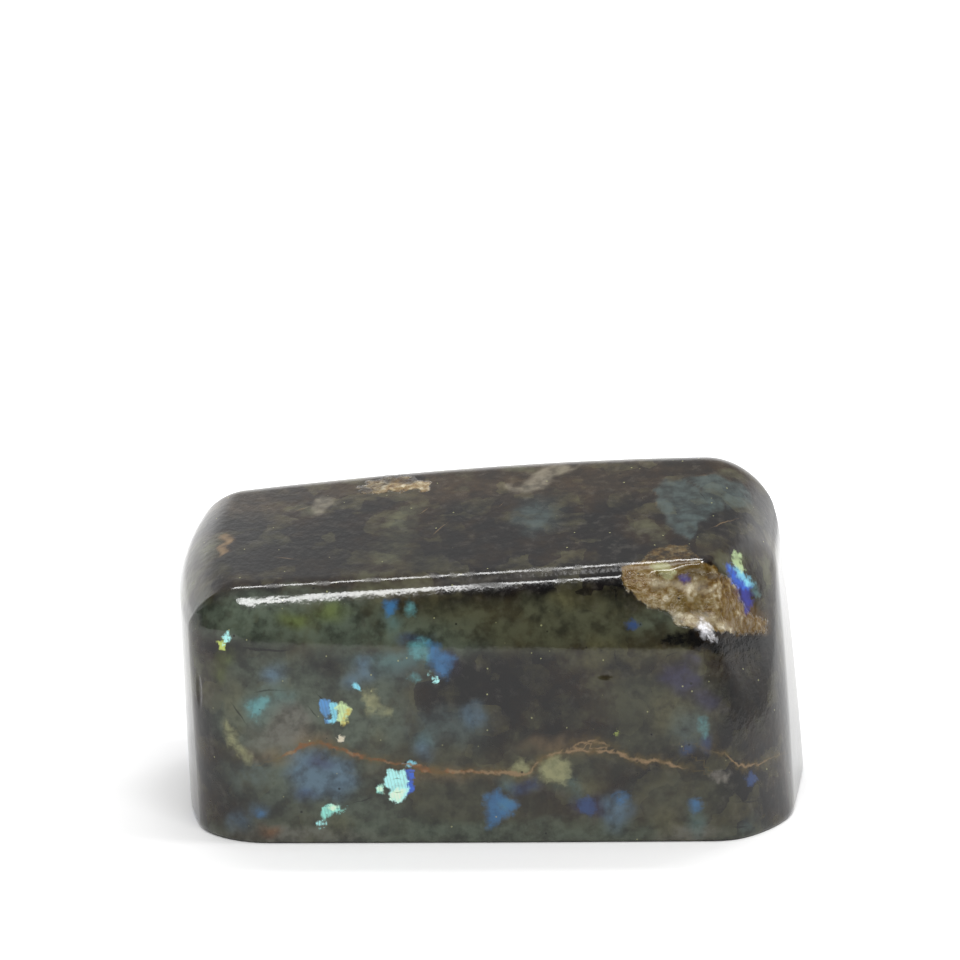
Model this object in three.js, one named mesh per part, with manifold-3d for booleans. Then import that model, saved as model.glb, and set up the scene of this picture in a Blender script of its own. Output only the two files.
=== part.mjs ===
// A polished labradorite freeform: one palm-sized block of feldspar, sawn flat underneath, ground to a few
// broad flats and polished, with soft arrises and two natural hollows that the polishing didn't reach.
// Millimetres, +Z up. The front looks along -Y, and the origin is the middle of the base.
import * as THREE from "three";
import { mergeVertices } from "three/addons/utils/BufferGeometryUtils.js";
import Module from "manifold-3d";

// Driving dimensions of the block.
const LENGTH = 110;
const DEPTH = 55;
const HEIGHT = 57;
const LEFT = -LENGTH / 2;
const RIGHT = LENGTH / 2;
const FRONT = -DEPTH / 2;
const BACK = DEPTH / 2;

// The brow over the flat front: where the front ends, and the two edges of the narrow crest at its left end.
const BROW_FOOT_HEIGHT = 34.8;
const CREST_X = LEFT + 16;
const CREST_FOOT = { setback: 4.2, height: 43.64 };
const CREST_LINE = { setback: 6.6, height: 44.43 };

// The ground flats, in the order in which they meet. turn is the compass direction that a flat faces, in
// degrees from +X towards +Y. lean is how far it looks up, and through is a point on it. arris is the radius
// of its edge with every flat before it. crown is the radius that a flat bulges to like a ball, bow the
// radius that it bulges to like an upright roller, and twist warps it.
const FLATS = [
  { name: "front", turn: 271, lean: 1, through: [0, FRONT, 0], arris: 0, crown: 4000 },
  { name: "brow", turn: 271.5, lean: 27, through: [0, FRONT, BROW_FOOT_HEIGHT], arris: 1.2 },
  {
    name: "crest",
    turn: 268,
    lean: 55,
    through: [CREST_X, FRONT + CREST_FOOT.setback, CREST_FOOT.height],
    arris: 2,
  },
  {
    name: "top",
    turn: 261,
    lean: 76.7,
    through: [CREST_X, FRONT + CREST_LINE.setback, CREST_LINE.height],
    arris: 1.2,
    twist: 0.00154,
  },
  { name: "back", turn: 88, lean: 5, through: [0, BACK + 0.4, 20], arris: 7.5, crown: 420 },
  { name: "left", turn: 182.7, lean: -1.9, through: [LEFT + 1.8, -2, 20], arris: 8.5, bow: 74 },
  { name: "right", turn: -9, lean: 5.6, through: [RIGHT - 0.1, 0, 8], arris: 12.5, crown: 1200 },
  { name: "right cheek", turn: -38, lean: 11, through: [RIGHT - 16.8, FRONT, 26], arris: 3 },
  { name: "right brow", turn: -38, lean: 16, through: [RIGHT - 13.4, FRONT + 6.15, 31.6], arris: 1.2 },
  { name: "left cheek", turn: 222, lean: 17, through: [LEFT + 2.4, FRONT, 35], arris: 3 },
  { name: "base", turn: 0, lean: -90, through: [0, 0, -0.25], arris: 1.3 },
];

// Natural hollows, each a shallow bowl with a lumpy floor. at is the middle of its mouth, turn and lean
// the way that the mouth faces, roll how far its long axis tips, and lumps the height of the floor's lumps.
const HOLLOWS = [
  {
    name: "gold pocket",
    at: [35.4, -21.7, 41.6],
    turn: 294,
    lean: 30,
    roll: -20,
    length: 25,
    width: 8.4,
    depth: 1.3,
    rim: 1.2,
    lumps: 0.3,
  },
  {
    name: "back pocket",
    at: [-22, 27.2, 33],
    turn: 93,
    lean: 6,
    roll: 24,
    length: 25,
    width: 12,
    depth: 1.4,
    rim: 0.9,
    lumps: 0.3,
  },
];
const LUMP_PITCH = 7;

// A hollow's bowl is an ellipsoid whose middle lies outside the stone: its half height and the height of its
// middle over the mouth, both as shares of the hollow's depth.
const BOWL_HALF_HEIGHT = 3;
const BOWL_RAISED = 2;

// The net of points that is drawn over the block, and how strongly its lines crowd towards the edges.
const NET = { length: 42, depth: 20, height: 22 };
const CROWDING = 0.72;

// The height of the point that all of the stone's upper half can be seen from, the thickness that is ground
// on below the base and sawn off again, and how far out the surface is looked for.
const HEART_HEIGHT = 25;
const SAW_WASTE = 0.1;
const SEARCH_REACH = 90;
const SEARCH_STEPS = 40;

const POLISH = { color: 0x4a4a44, roughness: 0.12, metalness: 0 };

function facing({ turn, lean }) {
  const around = THREE.MathUtils.degToRad(turn);
  const up = THREE.MathUtils.degToRad(lean);
  return new THREE.Vector3(
    Math.cos(up) * Math.cos(around),
    Math.cos(up) * Math.sin(around),
    Math.sin(up),
  );
}

// The height of a point above a flat that is part of an upright roller.
function heightAboveRoller(flat, through) {
  const axis = through.clone().addScaledVector(facing({ turn: flat.turn, lean: 0 }), -flat.bow);
  const lean = THREE.MathUtils.degToRad(flat.lean);
  return (point) => {
    const outward = Math.hypot(point.x - axis.x, point.y - axis.y) - flat.bow;
    return outward * Math.cos(lean) + (point.z - through.z) * Math.sin(lean);
  };
}

// The height of a point above a flat, which is a plane, or a very large ball where the flat has a crown.
function heightAbove(flat) {
  const through = new THREE.Vector3(...flat.through);
  if (flat.bow) return heightAboveRoller(flat, through);
  const normal = facing(flat);
  const face = flat.crown
    ? new THREE.Sphere(through.clone().addScaledVector(normal, -flat.crown), flat.crown)
    : new THREE.Plane().setFromNormalAndCoplanarPoint(normal, through);
  const twist = flat.twist ?? 0;
  return (point) => face.distanceToPoint(point) - twist * point.x * (point.y - through.y);
}

// The depth of a point in a hollow's bowl, below zero outside it.
function depthIn(hollow) {
  const mouthShare = Math.sqrt(1 - (BOWL_RAISED / BOWL_HALF_HEIGHT) ** 2);
  const axes = new THREE.Vector3(hollow.length, hollow.width, 0).divideScalar(2 * mouthShare);
  axes.z = BOWL_HALF_HEIGHT * hollow.depth;
  const outward = facing(hollow);
  const across = new THREE.Vector3(-outward.y, outward.x, 0)
    .normalize()
    .applyAxisAngle(outward, THREE.MathUtils.degToRad(hollow.roll));
  const along = new THREE.Vector3().crossVectors(outward, across);
  const middle = new THREE.Vector3(...hollow.at).addScaledVector(outward, BOWL_RAISED * hollow.depth);
  const toBowl = new THREE.Matrix4().makeBasis(across, along, outward).setPosition(middle).invert();
  const wave = (2 * Math.PI) / LUMP_PITCH;
  return (point) => {
    const local = point.clone().applyMatrix4(toBowl);
    const lump = hollow.lumps * Math.sin(wave * local.x) * Math.cos(wave * local.y);
    return (1 - local.divide(axes).length()) * axes.z + lump;
  };
}

// Two faces meet in an arris of this radius. Both values are heights above a face, below zero in the stone.
function meet(a, b, arris) {
  const outside = Math.hypot(Math.max(a + arris, 0), Math.max(b + arris, 0));
  return Math.min(-arris, Math.max(a, b)) + outside;
}

const faces = [
  ...FLATS.map((flat) => ({ height: heightAbove(flat), arris: flat.arris })),
  ...HOLLOWS.map((hollow) => ({ height: depthIn(hollow), arris: hollow.rim })),
];

// How far a point is outside the stone: below zero inside it.
function outsideStone(point) {
  return faces.reduce((height, face) => meet(height, face.height(point), face.arris), -Infinity);
}

// The place where a straight line comes out of the stone.
function wayOut(start, direction) {
  const point = new THREE.Vector3();
  let inside = 0;
  let outside = SEARCH_REACH;
  for (let step = 0; step < SEARCH_STEPS; step++) {
    const middle = (inside + outside) / 2;
    point.copy(start).addScaledVector(direction, middle);
    if (outsideStone(point) < 0) inside = middle;
    else outside = middle;
  }
  return point;
}

// The place on the stone for a point of the net, whose shares run from -1 to 1 each way. Lines fan out from
// the heart above it and run level below it, which keeps the base edge clean. The underside is shared out.
function surfacePoint(share) {
  const start = new THREE.Vector3(0, 0, HEART_HEIGHT + Math.min(share.z, 0) * (HEART_HEIGHT + SAW_WASTE));
  const direction = new THREE.Vector3(share.x * LENGTH, share.y * DEPTH, Math.max(share.z, 0) * HEIGHT);
  const point = wayOut(start, direction.normalize());
  const isUnderside = share.z === -1;
  return isUnderside ? start.lerp(point, Math.max(Math.abs(share.x), Math.abs(share.y))) : point;
}

function crowd(share) {
  const quarter = (Math.PI / 2) * CROWDING;
  return Math.sin(share * quarter) / Math.sin(quarter);
}

// A box's net of points, with no seams, drawn in or out along its lines until it lies on the stone.
function groundStone() {
  const net = pointsOnly(new THREE.BoxGeometry(2, 2, 2, NET.length, NET.depth, NET.height));
  const position = net.getAttribute("position");
  const share = new THREE.Vector3();
  for (let i = 0; i < position.count; i++) {
    share.fromBufferAttribute(position, i);
    share.set(crowd(share.x), crowd(share.y), crowd(share.z));
    position.setXYZ(i, ...surfacePoint(share));
  }
  return net;
}

function pointsOnly(geometry) {
  geometry.deleteAttribute("normal");
  geometry.deleteAttribute("uv");
  return mergeVertices(geometry);
}

const wasm = await Module();
wasm.setup();

function solidOf(geometry) {
  const mesh = new wasm.Mesh({
    numProp: 3,
    vertProperties: geometry.getAttribute("position").array,
    triVerts: new Uint32Array(geometry.index.array),
  });
  return new wasm.Manifold(mesh);
}

function geometryOf(solid) {
  const mesh = solid.getMesh();
  const geometry = new THREE.BufferGeometry();
  geometry.setAttribute("position", new THREE.BufferAttribute(mesh.vertProperties, 3));
  geometry.setIndex(new THREE.BufferAttribute(mesh.triVerts, 1));
  return geometry;
}

// Everything below the base plane is sawn away, which leaves a true flat to stand on.
function sawBase(geometry) {
  const waste = new THREE.BoxGeometry(2 * LENGTH, 2 * DEPTH, HEIGHT).translate(0, 0, -HEIGHT / 2);
  return geometryOf(solidOf(geometry).subtract(solidOf(pointsOnly(waste))));
}

// The origin goes to the middle of the base.
function centre(geometry) {
  geometry.computeBoundingBox();
  const middle = geometry.boundingBox.getCenter(new THREE.Vector3());
  return geometry.translate(-middle.x, -middle.y, 0);
}

const stone = new THREE.Mesh(centre(sawBase(groundStone())), new THREE.MeshStandardMaterial(POLISH));
stone.name = "labradorite_block";

const part = new THREE.Group();
part.add(stone);

export default part;
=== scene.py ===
"""A polished freeform block of labradorite on a plain white floor, in soft studio light."""
import logging
import math
from dataclasses import dataclass, field
from enum import Enum
from typing import Any, Optional, Union

import bpy
import numpy as np
from mathutils import Euler, Matrix, Vector, noise


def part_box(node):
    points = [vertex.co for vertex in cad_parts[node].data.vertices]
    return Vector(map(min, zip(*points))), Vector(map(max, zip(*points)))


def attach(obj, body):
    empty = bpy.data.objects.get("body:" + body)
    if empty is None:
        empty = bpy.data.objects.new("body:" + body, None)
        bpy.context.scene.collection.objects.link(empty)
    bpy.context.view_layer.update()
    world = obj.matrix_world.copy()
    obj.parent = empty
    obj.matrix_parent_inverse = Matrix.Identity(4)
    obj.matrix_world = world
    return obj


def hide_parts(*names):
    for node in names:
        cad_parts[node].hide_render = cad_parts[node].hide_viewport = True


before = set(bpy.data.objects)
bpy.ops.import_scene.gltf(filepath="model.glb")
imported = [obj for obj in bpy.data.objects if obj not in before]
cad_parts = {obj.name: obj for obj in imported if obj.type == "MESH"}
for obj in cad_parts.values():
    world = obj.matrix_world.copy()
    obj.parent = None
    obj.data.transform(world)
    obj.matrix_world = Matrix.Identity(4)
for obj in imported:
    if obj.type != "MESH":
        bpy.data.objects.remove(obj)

LOG = logging.getLogger("labradorite")
NODE = "labradorite_block"
MM = 0.001
NOISE_SEED = 11

Point = tuple[float, float, float]
Pixel = tuple[float, float]
Array = np.ndarray


def facing(turn: float, lean: float) -> Array:
    """The way that a face looks.

    Args:
        turn: Compass direction in degrees from +X towards +Y.
        lean: How far it looks up, in degrees.

    Returns:
        A unit vector.
    """
    around = math.radians(turn)
    up = math.radians(lean)
    return np.array([math.cos(up) * math.cos(around), math.cos(up) * math.sin(around), math.sin(up)])


def meet(first: Array, second: Array, arris: float) -> Array:
    """Joins two faces with a round arris.

    Args:
        first: Heights above one face, below zero in the stone.
        second: Heights above the other face.
        arris: Radius of the edge between them, in millimetres.

    Returns:
        Heights above the joined faces.
    """
    outside = np.hypot(np.maximum(first + arris, 0), np.maximum(second + arris, 0))
    return np.minimum(-arris, np.maximum(first, second)) + outside


def smooth(low: float, high: float, values: Array) -> Array:
    """An S-shaped rise from 0 at low to 1 at high."""
    share = np.clip((values - low) / (high - low), 0, 1)
    return share * share * (3 - 2 * share)


def crowd(shares: Array, crowding: float) -> Array:
    """Spreads even shares from -1 to 1 so that they lie closer together towards both ends."""
    quarter = math.pi / 2 * crowding
    return np.sin(shares * quarter) / math.sin(quarter)


@dataclass(frozen=True)
class Flat:
    """One ground face of the block, in millimetres and degrees."""

    turn: float
    lean: float
    through: Point
    arris: float
    crown: float = 0.0
    bow: float = 0.0
    twist: float = 0.0

    def height(self, points: Array) -> Array:
        """Heights of points above the face, which is part of a ball if crowned, or of a roller if bowed."""
        normal = facing(self.turn, self.lean)
        offset = points - np.array(self.through)
        if self.crown:
            flat = np.linalg.norm(offset + self.crown * normal, axis=1) - self.crown
        elif self.bow:
            around = np.linalg.norm((offset + self.bow * facing(self.turn, 0))[:, :2], axis=1) - self.bow
            flat = around * math.cos(math.radians(self.lean)) + offset[:, 2] * normal[2]
        else:
            flat = offset @ normal
        return flat - self.twist * points[:, 0] * offset[:, 1]

    def level(self, across: Array, along: Array) -> Array:
        """The height of the face, measured up from the floor, over places across and along the block."""
        normal = facing(self.turn, self.lean)
        side = across - self.through[0]
        back = along - self.through[1]
        rise = normal[0] * side + normal[1] * back - self.twist * across * back
        return self.through[2] - rise / normal[2]


@dataclass(frozen=True)
class Spot:
    """An oval place on the stone: the middle of it, the way that it faces and its size in millimetres."""

    at: Point
    turn: float
    lean: float
    roll: float
    length: float
    width: float

    def local(self, points: Array) -> Array:
        """Points as distances along the oval's length, along its width and outwards."""
        outward = Vector(facing(self.turn, self.lean))
        across = Vector((-outward.y, outward.x, 0)).normalized()
        across.rotate(Matrix.Rotation(math.radians(self.roll), 3, outward))
        along = outward.cross(across)
        return (points - np.array(self.at)) @ np.array([across, along, outward]).T

    def reach(self, points: Array) -> Array:
        """How far points are from the middle of the oval: 1 on its edge, and more outside it."""
        local = self.local(points)
        return np.sqrt((2 * local[:, 0] / self.length) ** 2 + (2 * local[:, 1] / self.width) ** 2)

    def inside(self, points: Array, softness: float) -> Array:
        """How far points lie in the oval: 1 in the middle, 0 outside, and softly between."""
        near = np.abs(self.local(points)[:, 2]) < self.length / 2
        return smooth(1 + softness, 1 - softness, self.reach(points)) * near


@dataclass(frozen=True)
class Hollow(Spot):
    """A natural hollow that the polishing didn't reach: a shallow bowl with a lumpy floor."""

    depth: float
    rim: float
    lumps: float
    lump_pitch: float = 7.0
    bowl_half_height: float = 3.0
    bowl_raised: float = 2.0

    def height(self, points: Array) -> Array:
        """Heights of points above the hollow's floor, as a face that the stone meets."""
        mouth = math.sqrt(1 - (self.bowl_raised / self.bowl_half_height) ** 2)
        thick = self.bowl_half_height * self.depth
        axes = np.array([self.length / 2 / mouth, self.width / 2 / mouth, thick])
        local = self.local(points) - np.array([0, 0, self.bowl_raised * self.depth])
        wave = 2 * math.pi / self.lump_pitch
        lump = self.lumps * np.sin(wave * local[:, 0]) * np.cos(wave * local[:, 1])
        return (1 - np.linalg.norm(local / axes, axis=1)) * thick + lump


class Socket:
    """An output of a shader node that takes part in Python expressions on values."""

    def __init__(self, graph: "Graph", output: Optional[bpy.types.NodeSocket]) -> None:
        """Wraps an output of a node in that graph."""
        self.graph = graph
        self.output = output

    def _math(self, operation: str, first: "Value", second: "Value") -> "Socket":
        """One Math node on two values."""
        return self.graph.node("Math", {"operation": operation}, {0: first, 1: second})

    def __add__(self, other: "Value") -> "Socket":
        """This value plus another."""
        return self._math("ADD", self, other)

    def __radd__(self, other: "Value") -> "Socket":
        """A number plus this value."""
        return self._math("ADD", other, self)

    def __sub__(self, other: "Value") -> "Socket":
        """This value less another."""
        return self._math("SUBTRACT", self, other)

    def __rsub__(self, other: "Value") -> "Socket":
        """A number less this value."""
        return self._math("SUBTRACT", other, self)

    def __mul__(self, other: "Value") -> "Socket":
        """This value times another."""
        return self._math("MULTIPLY", self, other)

    def __rmul__(self, other: "Value") -> "Socket":
        """A number times this value."""
        return self._math("MULTIPLY", other, self)

    def __abs__(self) -> "Socket":
        """This value without its sign."""
        return self.graph.node("Math", {"operation": "ABSOLUTE"}, {0: self})


Value = Union[Socket, float]
Colour = tuple[float, float, float, float]


class Graph:
    """The node tree of a material or a world."""

    def __init__(self, tree: bpy.types.NodeTree) -> None:
        """Empties the tree, ready for new nodes."""
        self.tree = tree
        self.tree.nodes.clear()

    def node(
        self,
        kind: str,
        settings: Optional[dict[str, Any]] = None,
        inputs: Optional[dict[Union[str, int], Any]] = None,
        output: Union[str, int] = 0,
    ) -> Socket:
        """Adds any node.

        Args:
            kind: The node's type, without the words that all shader nodes begin with.
            settings: Properties to set first. stops are a colour ramp's.
            inputs: Values or links for its sockets, by name or number.
            output: The socket to hand on.

        Returns:
            That socket, or an empty one from a node that has no outputs.
        """
        made = self.tree.nodes.new("ShaderNode" + kind)
        for name, value in (settings or {}).items():
            if name == "stops":
                self._set_stops(made.color_ramp, value)
            else:
                setattr(made, name, value)
        for name, value in (inputs or {}).items():
            self._feed(made.inputs[name], value)
        return Socket(self, made.outputs[output] if made.outputs else None)

    def _feed(self, socket: bpy.types.NodeSocket, value: Any) -> None:
        """Links a socket or sets its value."""
        if isinstance(value, Socket):
            self.tree.links.new(value.output, socket)
        else:
            socket.default_value = value

    @staticmethod
    def _set_stops(ramp: bpy.types.ColorRamp, stops: list[tuple[float, Colour]]) -> None:
        """Gives a colour ramp its stops."""
        while len(ramp.elements) < len(stops):
            ramp.elements.new(1.0)
        for element, (position, colour) in zip(ramp.elements, stops):
            element.position = position
            element.color = colour

    def vector(self, operation: str, first: Any, second: Any = (0.0, 0.0, 0.0)) -> Socket:
        """One Vector Math node that gives a vector."""
        return self.node("VectorMath", {"operation": operation}, {0: first, 1: second})

    def scaled(self, vector: Socket, scale: float) -> Socket:
        """A vector times a number."""
        return self.node("VectorMath", {"operation": "SCALE"}, {0: vector, "Scale": scale})

    def ramp(self, value: Value, *stops: tuple[float, "Hue"]) -> Socket:
        """A colour that runs through hues as a value rises."""
        return self.node("ValToRGB", {"stops": [(at, hue.linear) for at, hue in stops]}, {0: value})

    def blend(self, factor: Value, first: Any, second: Any) -> Socket:
        """One colour laid over another, by a factor from 0 to 1."""
        settings = {"data_type": "RGBA", "blend_type": "MIX", "clamp_factor": True}
        return self.node("Mix", settings, {0: factor, 6: first, 7: second}, 2)

    def rise(self, value: Value, low: float, high: float, bottom: float = 0.0, top: float = 1.0) -> Socket:
        """An S-shaped rise of a value from low to high, as a value from bottom to top."""
        settings = {"interpolation_type": "SMOOTHSTEP", "clamp": True}
        return self.node("MapRange", settings, {0: value, 1: low, 2: high, 3: bottom, 4: top})

    def parts(self, kind: str, whole: Socket) -> list[Socket]:
        """The three parts of a colour or of a vector, by the name of the node that parts them."""
        outputs = self.node(kind, inputs={0: whole}).output.node.outputs
        return [Socket(self, output) for output in outputs]

    def cells(self, place: Socket, size: float) -> list[Socket]:
        """Three random values for each of the blocky cells, about size across, that places fall into."""
        settings = {"distance": "CHEBYCHEV"}
        colours = self.node("TexVoronoi", settings, {"Vector": place, "Scale": 1 / size}, "Color")
        return self.parts("SeparateColor", colours)

    def grey(self, value: Socket) -> Socket:
        """A value as a colour without a hue."""
        return self.node("CombineXYZ", inputs={0: value, 1: value, 2: value})

    def clouds(self, place: Socket, size: float, detail: float = 3.0, output: int = 0) -> Socket:
        """Soft noise whose clouds are about size across, as a value or, from output 1, as a colour."""
        return self.node(
            "TexNoise",
            {"noise_dimensions": "3D"},
            {"Vector": place, "Scale": 1 / size, "Detail": detail, "Roughness": 0.55},
            output,
        )


def shade(red: int, green: int, blue: int) -> Colour:
    """A screen colour in steps of 255 as a linear colour."""
    steps = [step / 255 for step in (red, green, blue)]
    linear = [step / 12.92 if step < 0.04045 else ((step + 0.055) / 1.055) ** 2.4 for step in steps]
    return (*linear, 1.0)


class Hue(Enum):
    """Colours in the stone, in steps of 255, as they look on its front through the sheen of the polish."""

    SOOT = (58, 55, 53)
    SMOKE = (61, 58, 54)
    UMBER = (82, 72, 60)
    DUSK = (67, 63, 57)
    MOSS = (94, 95, 82)
    FERN = (102, 110, 99)
    SAGE = (106, 104, 84)
    OLIVE = (112, 122, 72)
    OLIVE_GOLD = (110, 97, 70)
    BROWN = (112, 91, 63)
    RUST = (130, 94, 70)
    GOLD = (146, 130, 98)
    TAN = (142, 121, 96)
    CREAM = (216, 208, 186)
    # Only for the painted highlight on the pocket's lip.
    SILVER = (246, 246, 250)
    KHAKI = (156, 156, 120)
    LIME = (200, 215, 120)
    STRAW = (202, 226, 172)
    AMBER = (196, 176, 90)
    PEARL = (124, 120, 113)
    SLATE = (94, 105, 104)
    TEAL = (100, 128, 128)
    STEEL = (100, 121, 138)
    VIOLET = (76, 74, 96)
    INDIGO = (74, 88, 122)
    DEEP_BLUE = (76, 78, 148)
    ROYAL = (80, 112, 204)
    BLUE = (80, 116, 154)
    AZURE = (102, 150, 200)
    SEA = (112, 166, 170)
    SKY = (140, 208, 226)
    MINT = (156, 228, 214)
    ICE = (186, 248, 246)
    FROST = (232, 252, 222)

    @property
    def linear(self) -> Colour:
        """The stone's own colour, without the sheen and in full light, as shaders take it."""
        sheen = 0.042
        light = 0.8
        darkest = 0.004
        red, green, blue, _ = shade(*self.value)
        own = [max((part - sheen) / light, darkest) for part in (red, green, blue)]
        return (*own, 1.0)


@dataclass(frozen=True)
class View:
    """The camera's place and what it sees, in millimetres and in pixels of its square picture."""

    aim: Point
    side: int = 960
    aim_pixel: Pixel = (497.5, 634.2)
    scale: float = 5.667
    distance: float = 600.0
    elevation: float = 16.95

    @property
    def focal(self) -> float:
        """The focal length in pixels."""
        return self.scale * self.distance

    def eye(self) -> Array:
        """Where the camera stands."""
        up = math.radians(self.elevation)
        return np.array(self.aim) + self.distance * np.array([0, -math.cos(up), math.sin(up)])

    def turn(self) -> Euler:
        """How the camera is turned so that its aim falls on the aim's pixel."""
        across, down = (math.atan((pixel - self.side / 2) / self.focal) for pixel in self.aim_pixel)
        return Euler((math.pi / 2 - math.radians(self.elevation) + down, 0, across))

    def pixels(self, points: Array) -> Array:
        """The pixels that points show at."""
        local = (points - self.eye()) @ np.array(self.turn().to_matrix())
        return self.side / 2 + self.focal * local[:, :2] * np.array([-1, 1]) / local[:, 2:]

    def faced(self, points: Array, normals: Array) -> Array:
        """How squarely the surface at points looks at the camera, from -1 to 1."""
        towards = self.eye() - points
        return np.sum(normals * towards, axis=1) / np.linalg.norm(towards, axis=1)


FAR = 40.0


@dataclass(frozen=True)
class Oval:
    """A round mark in the stone: its middle, half sizes and tilt, in pixels of the view and degrees."""

    at: Pixel
    half: Pixel
    tilt: float = 0.0

    def depth(self, pixels: Array) -> Array:
        """How deep pixels lie inside the mark, below zero outside it."""
        turn = Matrix.Rotation(math.radians(self.tilt), 2)
        offset = (pixels - np.array(self.at)) @ np.array(turn)
        return (1 - np.linalg.norm(offset / np.array(self.half), axis=1)) * min(self.half)


@dataclass(frozen=True)
class Shard:
    """An angular mark in the stone: its corners, in pixels of the view."""

    corners: tuple[Pixel, ...]

    def depth(self, pixels: Array) -> Array:
        """How deep pixels lie inside the mark, below zero outside it."""
        nearest = np.full(len(pixels), FAR)
        inside = np.zeros(len(pixels), dtype=bool)
        for start, end in zip(self.corners, self.corners[1:] + self.corners[:1]):
            edge = np.array(end) - np.array(start)
            offset = pixels - np.array(start)
            share = np.clip(offset @ edge / (edge @ edge), 0, 1)
            nearest = np.minimum(nearest, np.linalg.norm(offset - share[:, None] * edge, axis=1))
            straddled = (offset[:, 1] < 0) != (offset[:, 1] < edge[1])
            turn = edge[0] * offset[:, 1] - edge[1] * offset[:, 0]
            inside ^= straddled & ((turn < 0) == (edge[1] < 0))
        return np.where(inside, nearest, -nearest)


Mark = Union[Oval, Shard]


def ovals(*rows: tuple[float, ...]) -> tuple[Oval, ...]:
    """Round marks, each from its middle across and down, its half sizes and, where it has one, its tilt."""
    return tuple(Oval(row[:2], row[2:4], *row[4:]) for row in rows)


def shard(*places: float) -> Shard:
    """An angular mark from the places of its corners, across and down by turns."""
    return Shard(tuple(zip(places[::2], places[1::2])))


@dataclass(frozen=True)
class Tint:
    """Marks of one colour: how much they cover, and how soft their edges are, in pixels of the view."""

    name: str
    hue: Hue
    cover: float
    softness: float
    marks: tuple[Mark, ...]
    streaked: bool = False

    def depth(self, pixels: Array) -> Array:
        """How deep pixels lie inside the deepest of the marks."""
        return np.maximum.reduce([mark.depth(pixels) for mark in self.marks]).clip(-FAR, FAR)


@dataclass(frozen=True)
class Line:
    """A vein, crack or scratch: a path whose points are pixels of the view and a half width there."""

    path: tuple[Point, ...]

    def gap(self, pixels: Array) -> tuple[Array, Array]:
        """How far pixels are from the line.

        Args:
            pixels: Places in the view.

        Returns:
            Distances, below zero on one side of the line, and the half widths there.
        """
        nearest = np.full(len(pixels), FAR)
        width = np.full(len(pixels), -FAR)
        for start, end in zip(self.path, self.path[1:]):
            edge = np.array(end[:2]) - np.array(start[:2])
            offset = pixels - np.array(start[:2])
            share = np.clip(offset @ edge / (edge @ edge), 0, 1)
            away = np.linalg.norm(offset - share[:, None] * edge, axis=1)
            side = np.where(edge[0] * offset[:, 1] > edge[1] * offset[:, 0], 1, -1)
            closer = away < np.abs(nearest)
            nearest = np.where(closer, away * side, nearest)
            width = np.where(closer, start[2] + share * (end[2] - start[2]), width)
        return nearest, width


# Soft colours in the stone, and among them painted shade, a painted sheen and painted highlights.
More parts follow.
